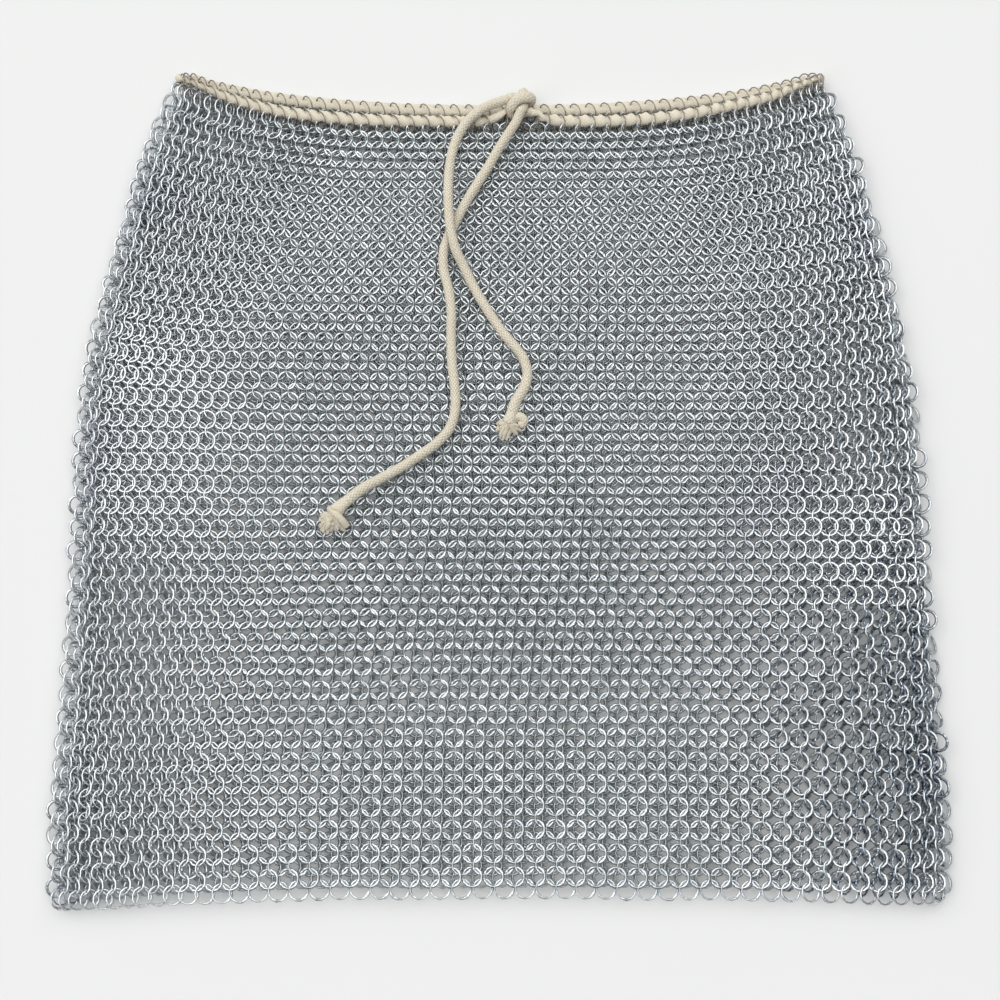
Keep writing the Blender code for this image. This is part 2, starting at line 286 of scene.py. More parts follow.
def rowSizes(row):
    last = len(ringRows) - 1
    k = 0
    while k < last - 1 and ringRows[k + 1][0] < row:
        k += 1
    a, b = ringRows[k], ringRows[k + 1]
    span = b[0] - a[0]
    t = (row - a[0]) / span
    values = []
    for c in range(1, 7):
        before = ringRows[max(0, k - 1)]
        after = ringRows[min(last, k + 2)]
        slopeA = (b[c] - before[c]) / (b[0] - before[0]) * span
        slopeB = (after[c] - a[c]) / (after[0] - a[0]) * span
        values.append(
            (2 * t ** 3 - 3 * t ** 2 + 1) * a[c] + (t ** 3 - 2 * t ** 2 + t) * slopeA
            + (3 * t ** 2 - 2 * t ** 3) * b[c] + (t ** 3 - t ** 2) * slopeB
        )
    return values


def smoothStep(t):
    t = min(1.0, max(0.0, t))
    return t * t * (3 - 2 * t)


def columnTable(row):
    # where the columns of one row lie, as shares of the way from the left fold to the right one
    k = 0
    while k < len(drawnSides) - 2 and drawnSides[k + 1][0] < row:
        k += 1
    a, b = drawnSides[k], drawnSides[k + 1]
    t = min(1.0, max(0.0, (row - a[0]) / (b[0] - a[0])))
    between = [p + (q - p) * t for p, q in zip(a[1:], b[1:])]
    left, leftIn, leftOut, right, rightIn, rightOut = between
    steps = 200
    places, columns = [0.0], [0.0]
    for k in range(steps):
        s = (k + 0.5) / steps
        pitch = (left + (1 - left) * smoothStep((s - leftIn) / (leftOut - leftIn))) * (
            right + (1 - right) * smoothStep((1 - s - rightIn) / (rightOut - rightIn)))
        pitch *= weave["foldPitch"] + (1 - weave["foldPitch"]) * smoothStep(min(s, 1 - s) / 0.05)
        places.append((k + 1) / steps)
        columns.append(columns[-1] + 1 / pitch)
    return places, [c / columns[-1] for c in columns]


columnTables = {}


def columnShare(row, share):
    key = round(row * 4)
    if key not in columnTables:
        columnTables[key] = columnTable(row)
    places, columns = columnTables[key]
    k = min(max(bisect.bisect_right(columns, share) - 1, 0), len(columns) - 2)
    t = (share - columns[k]) / (columns[k + 1] - columns[k])
    return places[k] + (places[k + 1] - places[k]) * t


def ridgeRise(x, y):
    rise = 0.0
    for middleX, middleY, heading, reach, spread, height in ridges:
        turn = math.radians(heading)
        dx, dy = x - middleX, y - middleY
        along = (dx * math.cos(turn) + dy * math.sin(turn)) / reach
        across = (dy * math.cos(turn) - dx * math.sin(turn)) / spread
        rise = max(rise, height * math.exp(-along ** 2 - across ** 2))
    return rise


def spotShare(x, y, spot, power=2):
    # how much of a soft spot there is at a place: 1 in its middle, fading out
    middleX, middleY, wide, long = spot[:4]
    return math.exp(-((x - middleX) / wide) ** power - ((y - middleY) / long) ** power)


def looseness(x, y):
    loose = 1.0
    for spot in looseSpots:
        loose += spot[4] * spotShare(x, y, spot)
    return loose


# tarnish and painted shade on the inner side of the rings: more under the waist cord and at the
# lower right, less on the left and below the waist
usualTarnishAndShade = 0.68
tarnishAndShadeSpots = (
    # x, y, half width, half length, how much more tarnish and painted shade there is on the inner
    # side
    (-235.0, 20.0, 90.0, 150.0, -0.35),
    (-235.0, -190.0, 80.0, 90.0, -0.35),
    (0.0, 245.0, 240.0, 20.0, 0.2),
    (0.0, 180.0, 240.0, 55.0, -0.5),
    (240.0, -175.0, 90.0, 110.0, 0.68),
)


def tarnishAndShadeAt(x, y):
    amount = usualTarnishAndShade
    for spot in tarnishAndShadeSpots:
        amount += spot[4] * spotShare(x, y, spot)
    return min(1.25, max(0.05, amount))


def proudness(x, y):
    return max(spot[4] * spotShare(x, y, spot, 4) for spot in proudRows)


frontLine = sorted((p.x, p.y, p.z) for p in waistLine if p.z > 8.5)
backLine = sorted((p.x, p.y, p.z) for p in waistLine if p.z < 4.5)


def cordAt(line, x):
    # height and level of a run of the waist cord at a place across the skirt
    if x <= line[0][0]:
        return line[0][1], line[0][2]
    for a, b in zip(line, line[1:]):
        if a[0] <= x <= b[0] and b[0] - a[0] > 1e-6:
            t = (x - a[0]) / (b[0] - a[0])
            return a[1] + (b[1] - a[1]) * t, a[2] + (b[2] - a[2]) * t
    return line[-1][1], line[-1][2]


def ringPlace(row, column, chance):
    # centre, slants, looseness and inward side of one ring, in millimetres
    a = column + 0.5 * (row % 2)
    half = weave["columns"] / 2
    onBack = a > half
    fromFold = min(a, abs(half - a), 2 * half - a)
    onRight = abs(half - a) < min(a, 2 * half - a)
    outwards = 1 if onRight else -1
    share = (2 * half - a) / half if onBack else a / half
    inner = smoothStep((fromFold - 0.25) / 1.2)
    level = row
    if onBack and row > 0:
        aside = 1 - smoothStep((0.45 - abs(share - 0.5)) / 0.2)
        offRows, offColumns = (
            low + (high - low) * aside for low, high in (weave["backRows"], weave["backColumns"]))
        level = row - offRows * min(1.0, row / 5)
        share -= offColumns / half * math.tanh(8 * share - 4) * inner
    leftY, middleY, rightY, leftX, rightX, curve = rowSizes(level)
    x = leftX + (rightX - leftX) * columnShare(level, share)
    u = (2 * x - leftX - rightX) / (rightX - leftX)
    sideY = leftY if u < 0 else rightY
    rise = sideY - middleY
    y = middleY + rise * abs(u) ** curve
    halfWidth = (rightX - leftX) / 2
    slope = rise * curve * abs(u) ** (curve - 1) * (1 if u > 0 else -1) / halfWidth
    turnOver = math.sin(math.pi / 2 * min(1.0, fromFold / 1.3))
    middleZ = (weave["frontZ"] + weave["backZ"]) / 2
    reach = (weave["frontZ"] - weave["backZ"]) / 2
    z = middleZ + reach * turnOver * (-1 if onBack else 1)
    rightUp = row % 2 == 0
    proud = proudness(x, y)
    sideways = smoothStep((abs(u) - 0.45) / 0.45) * (1 - 0.8 * proud)
    lean = weave["lean"] + (weave["sideLean"] - weave["lean"]) * sideways
    if onBack:
        more, most = weave["underLean"]
        lean += more + (most - more) * sideways
    else:
        lean += weave["proudLean"][not rightUp] * proud
        z += weave["proudRise"] * (1 if rightUp else -1) * proud
    lean *= 1 if rightUp else -1
    turn = math.degrees(math.atan(slope)) * 0.45
    pitch = 0.0
    loose = looseness(x, y)
    if onBack:
        y += weave["backDrop"] * max(0.0, 1 - row / 6) * (1 - abs(u) ** 10)
    else:
        z += ridgeRise(x, y) * (1 - abs(u) ** 8)
    if fromFold < 0.25:
        lean = chance.uniform(*weave["rimLean"][onRight]) * chance.choice((-1, 1))
        pitch = chance.uniform(-weave["rimPitch"], weave["rimPitch"])
        x += chance.uniform(*weave["rimSlip"]) * outwards
        loose = min(loose, 2.0)
    else:
        crowded = 1 - smoothStep((fromFold - 0.3) / 2.6)
        size = abs(lean) + (weave["foldLean"] - abs(lean)) * crowded
        lean = size if lean > 0 else -size
        y += weave["crowdShift"] * (-1 if onBack else 1) * crowded
    if row == 0:
        line = backLine if onBack else frontLine
        level, height = cordAt(line, x)
        knotLeft, knotRight, knotY, knotZ, knotLean = weave["knotRings"]
        if fromFold < 0.25:
            (tipX, tipY), (offX, offY, z, lean) = cordSizes["cornerTip"], weave["cornerRing"]
            x, y = (tipX + offX) * outwards, tipY + offY
            pitch, turn = 0.0, 0.0
        elif onBack:
            y, z = level - weave["cordDrop"], 4.6
            lean, turn = weave["cordLean"], weave["cordTurn"]
        elif knotLeft < x < knotRight:
            y, z, lean = knotY, knotZ, knotLean
            turn = 6.0 + chance.uniform(-8, 8)
        else:
            y, z = level - weave["cordDrop"], height - weave["cordSink"]
            lean = weave["cordLean"]
            turn = weave["cordTurn"] if x < 0 else 16.0 - 10.0 * min(1.0, x / 120)
        loose = 0.7
    else:
        wave = noise.noise_vector(Vector((x / 64, y / 64, 3.0 if onBack else 8.0)))
        calm = weave["wander"] * min(1.0, row / 5)
        x += wave.x * calm * 1.3 * inner
        y += wave.y * calm
    if row == weave["rows"] - 1:    # the hem
        lean *= weave["hemLean"]
        z -= weave["hemSink"][onBack]
    stir = 0.55 + 0.45 * sideways + (loose - 1)
    sideScatter, longScatter, upScatter, slantScatter = weave["scatter"]
    x += chance.gauss(0, sideScatter) * stir
    y += chance.gauss(0, longScatter) * stir
    z += chance.gauss(0, upScatter) * stir
    lean += chance.gauss(0, slantScatter) * stir
    pitch += chance.gauss(0, slantScatter) * stir
    inward = turnOver if onBack else -turnOver
    return Vector((x, y, z)), (lean, pitch, turn), stir, inward


def ringTurning(slants, spin):
    lean, pitch, turn = slants
    return (
        Matrix.Rotation(math.radians(turn), 3, "Z")
        @ Matrix.Rotation(math.radians(-lean), 3, "Y")
        @ Matrix.Rotation(math.radians(pitch), 3, "X")
        @ Matrix.Rotation(math.radians(spin), 3, "Z")
    )


def placeRings():
    chance = random.Random(weave["seed"])
    noise.seed_set(weave["seed"])   # without it the slow waves differ every time
    rows = []
    for row in range(weave["rows"]):
        rings = []
        for column in range(weave["columns"]):
            centre, slants, stir, inward = ringPlace(row, column, chance)
            turning = ringTurning(slants, chance.gauss(*weave["spin"]))
            reach = weave["ringRadius"] * math.sqrt(max(0.0, 1 - turning.col[2].z ** 2))
            centre.z = max(centre.z, reach + 0.85 + 0.12 * stir)   # clear of the floor
            rings.append((centre, turning, stir, inward))
        rows.append(rings)
    return rows


allRings = placeRings()
print("ring places ready:", sum(len(r) for r in allRings))


# Node trees: small helpers for the materials, the weave and the light.
def giveInput(tree, socket, value):
    # links a socket to another one or sets its value; a colour is given by three numbers
    if hasattr(value, "is_output"):
        tree.links.new(value, socket)
    elif socket.type == "RGBA":
        socket.default_value = (*value, 1.0)
    else:
        socket.default_value = value


def addNode(tree, kind, inputs=None, **settings):
    node = tree.nodes.new(kind)
    for key, value in settings.items():
        setattr(node, key, value)
    for label, value in (inputs or {}).items():
        giveInput(tree, node.inputs[label], value)
    return node


def newGroup(name, inputs, outputs, kind="ShaderNodeTree"):
    tree = bpy.data.node_groups.new(name, kind)
    for way, sockets in (("INPUT", inputs), ("OUTPUT", outputs)):
        for label, form in sockets:
            tree.interface.new_socket(name=label, in_out=way, socket_type="NodeSocket" + form)
    return tree, tree.nodes.new("NodeGroupInput").outputs, tree.nodes.new("NodeGroupOutput").inputs


def giveOutputs(tree, sockets, *values):
    for socket, value in zip(sockets, values):
        tree.links.new(value, socket)


def maths(tree, operation, *values, clamp=False):
    inputs = dict(enumerate(values))
    return addNode(tree, "ShaderNodeMath", inputs, operation=operation, use_clamp=clamp).outputs[0]


def mixColour(tree, factor, first, second):
    inputs = {0: factor, 6: first, 7: second}
    return addNode(tree, "ShaderNodeMix", inputs, data_type="RGBA").outputs[2]


def noiseAt(tree, vector, scale, detail=2.0, rough=0.5):
    inputs = {"Vector": vector, "Scale": scale, "Detail": detail, "Roughness": rough}
    return addNode(tree, "ShaderNodeTexNoise", inputs).outputs["Fac"]


def remap(tree, value, low, high, toLow, toHigh, kind="LINEAR"):
    inputs = {"Value": value, "From Min": low, "From Max": high, "To Min": toLow, "To Max": toHigh}
    return addNode(tree, "ShaderNodeMapRange", inputs, interpolation_type=kind).outputs["Result"]


def splitVector(tree, vector):
    return addNode(tree, "ShaderNodeSeparateXYZ", {0: vector}).outputs


def readAttribute(tree, name, output="Fac"):
    return addNode(tree, "ShaderNodeAttribute", attribute_name=name).outputs[output]


def objectPlaces(tree):
    return addNode(tree, "ShaderNodeTexCoord").outputs["Object"]


# Dull bloom, tarnish with painted shade on the inner side and at the ends of the rings, and small
# scratches of plated steel.
zincWearAndShadeLook = {
    "bloomScale": 420.0,        # scales of the patterns, per metre
    "patchScale": 9.0,
    "mottleScale": 42.0,
    "speckScale": 700.0,
    "grainScale": 2600.0,
    "worn": (0.1, 0.22),        # metres from the middle, where handling takes the dullness off
    "blued": (0.13, 0.24),      # and where the tarnish and painted shade turn blue
    # colours of the tarnish and painted shade of the inner side, then the darker painted shade at
    # the ends of the rings
    "tarnishAndShade": (0.41, 0.445, 0.45),
    "deepTarnishAndShade": (0.31, 0.345, 0.355),
    "blueTarnishAndShade": (0.035, 0.075, 0.145),
    "ringEndShade": (0.13, 0.15, 0.155),
}


def zincWearAndShadeGroup(look):
    tree, given, result = newGroup(
        "zincWearAndShade",
        (
            ("Place", "Vector"), ("Ring Tone", "Float"), ("Inner Side", "Float"),
            ("Ring End Shade", "Float"), ("Bright", "Color"), ("Dull", "Color"),
            ("Violet", "Color"), ("Gloss", "Float"),
        ),
        (("Colour", "Color"), ("Roughness", "Float"), ("Height", "Float")),
    )
    calc = partial(maths, tree)
    place, ringEndShade = given["Place"], given["Ring End Shade"]
    bloom = noiseAt(tree, place, look["bloomScale"], 3.0)
    patches = noiseAt(tree, place, look["patchScale"], 1.0)
    grain = noiseAt(tree, place, look["grainScale"], 1.0)
    shift = calc("SUBTRACT", given["Ring Tone"], 0.5)
    blooming = remap(tree, bloom, 0.38, 0.66, 0.0, 1.0)
    dullness = calc("MULTIPLY_ADD", shift, 0.7, blooming, clamp=True)
    # less dull towards the folds, where the mail is handled
    sideways = calc("ABSOLUTE", splitVector(tree, place)["X"])
    dullness = calc("MULTIPLY", dullness, remap(tree, sideways, *look["worn"], 1.0, 0.25))
    colour = mixColour(tree, dullness, given["Bright"], given["Dull"])
    colour = mixColour(tree, remap(tree, patches, 0.54, 0.76, 0.0, 0.2), colour, given["Violet"])
    # tarnish and painted shade, in patches of two tones, bluer at the sides
    filmAndShade = mixColour(tree, patches, look["tarnishAndShade"], look["deepTarnishAndShade"])
    mottle = noiseAt(tree, place, look["mottleScale"])
    blue = calc(
        "MULTIPLY",
        remap(tree, sideways, *look["blued"], 0.0, 1.0),
        remap(tree, mottle, 0.35, 0.62, 0.6, 1.0),
    )
    filmAndShade = mixColour(tree, blue, filmAndShade, look["blueTarnishAndShade"])
    # the tarnish and painted shade break up in specks
    speck = noiseAt(tree, place, look["speckScale"], 1.0)
    tarnishAndShade = calc(
        "MULTIPLY", given["Inner Side"], remap(tree, speck, 0.44, 0.58, 1.1, 0.3), clamp=True)
    # the four ends of each ring in the flat middle get painted shade, darker still
    tarnishAndShade = calc("MAXIMUM", tarnishAndShade, ringEndShade)
    filmAndShade = mixColour(tree, calc("MULTIPLY", ringEndShade, 0.4), filmAndShade, look["ringEndShade"])
    colour = mixColour(tree, tarnishAndShade, colour, filmAndShade)
    rough = calc("MULTIPLY_ADD", dullness, 0.10, given["Gloss"])
    rough = calc("MULTIPLY_ADD", tarnishAndShade, 0.22, rough)
    rough = calc("MULTIPLY_ADD", calc("SUBTRACT", grain, 0.5), 0.12, rough, clamp=True)
    height = calc("MULTIPLY_ADD", grain, 0.35, bloom)
    giveOutputs(tree, result, colour, rough, height)
    return tree


# Over and under strands of a round braid, from a map round and along the cord.
def braidGroup():
    tree, given, result = newGroup(
        "braidWeave",
        (("Map", "Vector"), ("Strands", "Float"), ("Stretch", "Float")),
        (("Height", "Float"), ("Fibres", "Float")),
    )
    calc = partial(maths, tree)
    split = splitVector(tree, given["Map"])
    around = calc("MULTIPLY", split["X"], given["Strands"])
    along = calc("MULTIPLY", calc("MULTIPLY", split["Y"], given["Strands"]), given["Stretch"])
    first = calc("ADD", around, along)
    second = calc("SUBTRACT", around, along)
    cell = calc("ADD", calc("FLOOR", first), calc("FLOOR", second))
    family = calc("ABSOLUTE", calc("MODULO", cell, 2.0))

    def onTop(one, other):
        # one value on the first family of strands, the other on the second
        kept = calc("MULTIPLY", one, calc("SUBTRACT", 1.0, family))
        return calc("ADD", kept, calc("MULTIPLY", other, family))

    across, length = (
        calc("SINE", calc("MULTIPLY", calc("FRACT", line), math.pi)) for line in (first, second)
    )
    crown = calc("MULTIPLY_ADD", onTop(length, across), 0.5, 0.5)
    height = calc("MULTIPLY", onTop(across, length), crown)
    # yarn fibres run along the strand that is on top
    joined = addNode(tree, "ShaderNodeCombineXYZ", {
        0: calc("MULTIPLY", onTop(first, second), 5.0),
        1: calc("MULTIPLY", onTop(second, first), 0.8),
    })
    giveOutputs(tree, result, height, noiseAt(tree, joined.outputs[0], 1.0, 2.0, 0.6))
    return tree


zincWearAndShade = zincWearAndShadeGroup(zincWearAndShadeLook)
braidWeave = braidGroup()


def newMaterial(name):
    made = bpy.data.materials.new(name)
    made.use_nodes = True
    return made, made.node_tree, made.node_tree.nodes["Principled BSDF"]


def addBump(tree, shader, height, strength, distance):
    inputs = {"Strength": strength, "Distance": distance, "Height": height}
    bump = addNode(tree, "ShaderNodeBump", inputs)
    tree.links.new(bump.outputs["Normal"], shader.inputs["Normal"])


# inside: how much tarnish and painted shade the inner side has; then how much painted shade the
# four ends of each ring get in the flat middle
zincLook = {
    "solid": {
        "bright": (0.775, 0.805, 0.82), "dull": (0.51, 0.545, 0.565), "violet": (0.43, 0.44, 0.56),
        "gloss": 0.26, "inside": 1.0, "ringEndShadeShare": 1.0,
    },
    "riveted": {
        "bright": (0.775, 0.805, 0.82), "dull": (0.55, 0.585, 0.605), "violet": (0.47, 0.48, 0.60),
        "gloss": 0.24, "inside": 1.0, "ringEndShadeShare": 1.0,
    },
    "gripping": {
        "bright": (0.36, 0.31, 0.25), "dull": (0.20, 0.165, 0.13), "violet": (0.27, 0.25, 0.26),
        "gloss": 0.38, "inside": 0.5, "ringEndShadeShare": 0.0,
    },
}
# where the four ends of each ring get painted shade
ringEndShadeArea = {
    "sides": (0.13, 0.20),      # metres from the middle, where the painted shade at the ring ends stops
    "hem": (-0.20, -0.11, 0.6),     # from where to where it fades, and its share at the hem
}


def zincMaterial(name, look):
    made, tree, shader = newMaterial(name)
    calc = partial(maths, tree)
    places = objectPlaces(tree)
    # the inner side of the mail gets tarnish and painted shade, which darkens the recesses
    normal = addNode(tree, "ShaderNodeNewGeometry").outputs["Normal"]
    turned = calc("MULTIPLY", splitVector(tree, normal)["Z"], readAttribute(tree, "inward"))
    inside = remap(tree, turned, -0.2, 0.3, 0.0, look["inside"])
    filmAndShade = readAttribute(tree, "tarnishAndShade")
    # past 1 the tarnish and painted shade creep round to the outer side too
    crept = calc("MULTIPLY", calc("SUBTRACT", filmAndShade, 1.0, clamp=True), 1.2)
    # in the flat middle of the skirt each ring gets painted shade at its left, right, top and
    # bottom, and stays bright on its diagonals
    ends = {0: places, 1: readAttribute(tree, "ringMiddle", "Vector")}
    offset = addNode(tree, "ShaderNodeVectorMath", ends, operation="SUBTRACT")
    parts = splitVector(tree, offset.outputs[0])
    squares = [calc("MULTIPLY", parts[axis], parts[axis]) for axis in "XY"]
    both = calc("ADD", *squares)
    crossed = calc("MULTIPLY", calc("MULTIPLY", *squares), 4.0)
    spokes = calc("DIVIDE", crossed, calc("MULTIPLY", both, both))
    where = splitVector(tree, places)
    calm = remap(tree, calc("ABSOLUTE", where["X"]), *ringEndShadeArea["sides"], look["ringEndShadeShare"], 0.0)
    calm = calc("MULTIPLY", calm, remap(tree, where["Y"], *ringEndShadeArea["hem"], 1.0))
    wearAndShade = addNode(tree, "ShaderNodeGroup", node_tree=zincWearAndShade, inputs={
        "Place": places,
        "Ring Tone": readAttribute(tree, "ringTone"),
        "Inner Side": calc("MULTIPLY_ADD", inside, filmAndShade, crept, clamp=True),
        "Ring End Shade": calc("MULTIPLY", remap(tree, spokes, 0.08, 0.5, 1.0, 0.0), calm),
        **{label: look[label.lower()] for label in ("Bright", "Dull", "Violet", "Gloss")},
    }).outputs
    shader.inputs["Metallic"].default_value = 1.0
    tree.links.new(wearAndShade["Colour"], shader.inputs["Base Color"])
    tree.links.new(wearAndShade["Roughness"], shader.inputs["Roughness"])
    addBump(tree, shader, wearAndShade["Height"], 0.12, 0.0002)
    return made


cottonLook = {
    "strands": 9.0,
    "stretch": 0.72,
    "light": (0.76, 0.70, 0.57),
    "shade": (0.41, 0.345, 0.24),
    "fleck": (0.84, 0.80, 0.69),
    "patch": (0.62, 0.53, 0.40),
    # brown of stains and of painted shade in the creases
    "soilAndShade": (0.38, 0.26, 0.135),
}


def cottonMaterial(name, look, brown, depth):
    made, tree, shader = newMaterial(name)
    cordMap = addNode(tree, "ShaderNodeUVMap", uv_map="cordMap").outputs["UV"]
    braid = addNode(tree, "ShaderNodeGroup", node_tree=braidWeave, inputs={
        "Map": cordMap, "Strands": look["strands"], "Stretch": look["stretch"],
    }).outputs
    places = objectPlaces(tree)
    lifted = remap(tree, braid["Height"], 0.05, 0.5, 1.0 - depth, 1.0)
    colour = mixColour(tree, lifted, look["shade"], look["light"])
    for value, fromTo, layer in (
        (braid["Fibres"], (0.45, 0.75, 0.0, 0.6), "fleck"),
        (noiseAt(tree, places, 900.0), (0.3, 0.7, 0.25, 0.0), "shade"),
        (noiseAt(tree, places, 60.0), (0.35, 0.7, 0.0, 0.22), "patch"),
    ):
        colour = mixColour(tree, remap(tree, value, *fromTo), colour, look[layer])
    # brown stains, and painted shade in the creases where the cord presses on itself and under the
    # rings
    stainAndShadeShare = maths(tree, "MULTIPLY", readAttribute(tree, "stainAndShade"), brown)
    giveInput(tree, shader.inputs["Base Color"], mixColour(tree, stainAndShadeShare, colour, look["soilAndShade"]))
    shader.inputs["Roughness"].default_value = 0.92
    shader.inputs["Specular IOR Level"].default_value = 0.15
    shader.inputs["Sheen Weight"].default_value = 0.25
    shader.inputs["Sheen Roughness"].default_value = 0.5
    height = maths(tree, "MULTIPLY_ADD", braid["Fibres"], 0.25, braid["Height"])
    addBump(tree, shader, height, depth, 0.0005)
    return made


solidZinc = zincMaterial("stampedZinc", zincLook["solid"])
wireZinc = zincMaterial("wireZinc", zincLook["riveted"])
grippingZinc = zincMaterial("grippingZinc", zincLook["gripping"])
braidedCotton = cottonMaterial("braidedCotton", cottonLook, 0.75, 0.8)
squeezedCotton = cottonMaterial("squeezedCotton", cottonLook, 0.7, 0.3)
frayedCotton = cottonMaterial("frayedCotton", cottonLook, 0.6, 0.6)
print("materials ready")


# Meshes of the drawstring.
def tubeFrames(route):
    frames = []
    last = len(route) - 1
    up = None
    for i in range(last + 1):
        tangent = (route[min(last, i + 1)] - route[max(0, i - 1)]).normalized()
        if up is None:
            up = Vector((0, 0, 1)) if abs(tangent.z) < 0.8 else Vector((0, 1, 0))
        up = (up - tangent * up.dot(tangent)).normalized()
        frames.append((tangent, tangent.cross(up), up))
    return frames


def tubeGrid(route, radiusAt, sides):
    grid = []
    for i, (point, (tangent, side, up)) in enumerate(zip(route, tubeFrames(route))):
        ring = []
        for j in range(sides):
            angle = math.tau * j / sides
            out = side * math.cos(angle) + up * math.sin(angle)
            ring.append(point + out * radiusAt(i, angle))
        grid.append(ring)
    return grid


def addTube(shape, route, grid, diameter, stainsAndShade=None, roundEnd=0.35):
    # joins the rings of points into a closed tube with its map
    maps, floats = shape.loops.layers.uv, shape.verts.layers.float
    layer = maps.get("cordMap") or maps.new("cordMap")
    # a layer for brown stains and painted crease shade
    stainAndShadeLayer = floats.get("stainAndShade") or floats.new("stainAndShade")
    along = lengthsAlong(route)
    around = math.pi * diameter
    rings = []
    for k, ring in enumerate(grid):
        made = [shape.verts.new(p * mm) for p in ring]
        for j, v in enumerate(made):
            v[stainAndShadeLayer] = stainsAndShade[k][j] if stainsAndShade else 0.0
        rings.append(made)
    sides = len(grid[0])
    for i in range(len(rings) - 1):
        for j in range(sides):
            k = (j + 1) % sides
            face = shape.faces.new((rings[i][j], rings[i + 1][j], rings[i + 1][k], rings[i][k]))
            face.smooth = True
            corners = ((j, i), (j, i + 1), (j + 1, i + 1), (j + 1, i))
            for loop, (side, step) in zip(face.loops, corners):
                loop[layer].uv = (side / sides, along[step] / around)
    for end, first in ((0, True), (-1, False)):
        ring = rings[end]
        away = (route[0] - route[1]) if first else (route[-1] - route[-2])
        middle = sum((v.co for v in ring), Vector()) / sides
        reach = (ring[0].co - middle).length
        tip = shape.verts.new(middle + away.normalized() * reach * roundEnd)
        tip[stainAndShadeLayer] = ring[0][stainAndShadeLayer]
        step = 0.0 if first else along[-1]
        for j in range(sides):
            k = (j + 1) % sides
            corners = (ring[j], ring[k], tip) if first else (ring[k], ring[j], tip)
            face = shape.faces.new(corners)
            face.smooth = True
            for loop in face.loops:
                loop[layer].uv = ((j + 0.5) / sides, step / around)


def finishMesh(shape, name, surface):
    mesh = bpy.data.meshes.new(name)
    shape.to_mesh(mesh)
    shape.free()
    mesh.materials.append(surface)
    return addObject(name, mesh)


def lumpyRadius(radius, amount, seed, grain=0.16):
    # a hand-worn cord is never quite even
    def radiusAt(i, angle):
        wave = noise.noise(Vector((i * grain, math.cos(angle) * 1.3 + seed, math.sin(angle) * 1.3)))
        return radius * (1 + amount * wave)
    return radiusAt


knotLook = {
    "radius": 3.15,
    "flattened": 1.26,      # the pass on top is pressed this much wider
    "fromRight": (
        (22.2, 249.2, 12.2), (18.4, 249.8, 11.2), (14.0, 249.2, 9.8), (9.6, 248.0, 10.0),
        (6.8, 249.2, 12.6), (7.6, 251.6, 16.6), (10.2, 254.7, 18.4), (14.4, 257.0, 18.8),
        (18.8, 258.0, 17.6), (21.6, 257.8, 14.4), (20.2, 257.0, 11.2), (15.0, 258.6, 11.8),
        (10.4, 258.4, 15.0), (6.0, 256.9, 17.08),
    ),
    "fromLeft": (
        (6.6, 252.0, 12.4), (10.4, 255.4, 12.6), (14.2, 259.2, 13.0), (15.7, 263.4, 12.4),
        (15.9, 264.4, 9.4), (16.4, 261.6, 7.6), (17.0, 257.2, 10.0), (16.0, 252.6, 13.8),
        (14.0, 248.2, 16.82),
    ),
}
overPass, underPass = (
    smoothThrough([Vector(p) for p in knotLook[side]], 0.9) for side in ("fromRight", "fromLeft")
)


def finderOf(points):
    finder = kdtree.KDTree(len(points))
    for i, p in enumerate(points):
        finder.insert(p, i)
    finder.balance()
    return finder


def wholeString():
    # every point of the string from one frayed end to the other, with its length so far
    pieces = (shortLine[::-1], overPass[::-1], waistLine, underPass, longLine)
    points = [p for piece in pieces for p in piece]
    return finderOf(points), lengthsAlong(points)


stringFinder, stringLengths = wholeString()


def soilAndShadeOf(route, grid):
    # brown soil and painted shade in the creases where the string lies against another part of
    # itself
    soilAndShade = []
    for middle, ring in zip(route, grid):
        _, own, _ = stringFinder.find(middle)
        row = []
        for p in ring:
            nearest = 9.0
            for _, i, distance in stringFinder.find_range(p, 4.6):
                if abs(stringLengths[i] - stringLengths[own]) > 11.0:
                    nearest = min(nearest, distance)
            row.append(smoothStep((4.5 - nearest) / 1.5))
        soilAndShade.append(row)
    return soilAndShade


waistCord = {
    "sides": 20,
    "lumps": 0.05,
    "bite": 2.1,            # how deep a ring presses in, and how wide
    "biteWidth": 1.5,
    "pinch": 1.15,          # how much a ring narrows the cord all round
    "pinchWidth": 1.7,
    "spread": (1.42, 1.36), # how much the front and back runs are flattened out
    "corner": (207, 25),    # where the flattening ends at the corners, and over what length
    "knot": (10, 14, 16),   # the middle of the knot, and the same for it
    "sag": 0.7,             # how far the front run sags, mm
    "ringShade": (0.45, 0.9),    # how dark a line of painted shade a ring leaves on the cord, and how widely
}


def creaseByRings(route, grid, rings, look, soilAndShade):
    # each ring of the top row bites into the soft cord that it holds, and paints a line of shade in
    # its crease
    finder = finderOf(route)
    reach = weave["ringRadius"] + 3.4
    for centre, turning, _, _ in rings:
        back = turning.transposed()
        for _, i, _ in finder.find_range(centre, reach):
            for j, p in enumerate(grid[i]):
                local = back @ (p - centre)
                flat = math.hypot(local.x, local.y)
                away = math.hypot(flat - weave["ringRadius"], local.z)
                depth = look["bite"] * math.exp(-(away / look["biteWidth"]) ** 2)
                if flat < weave["ringRadius"] + 2:
                    pinch = look["pinch"] * math.exp(-(local.z / look["pinchWidth"]) ** 2)
                    depth = max(depth, pinch)
                if depth > 0.02:
                    grid[i][j] = p + (route[i] - p).normalized() * depth
                # painted shade along the ring's crease
                ringShadeDepth, ringShadeWidth = look["ringShade"]
                soilAndShade[i][j] = max(soilAndShade[i][j], ringShadeDepth * math.exp(-(away / ringShadeWidth) ** 2))


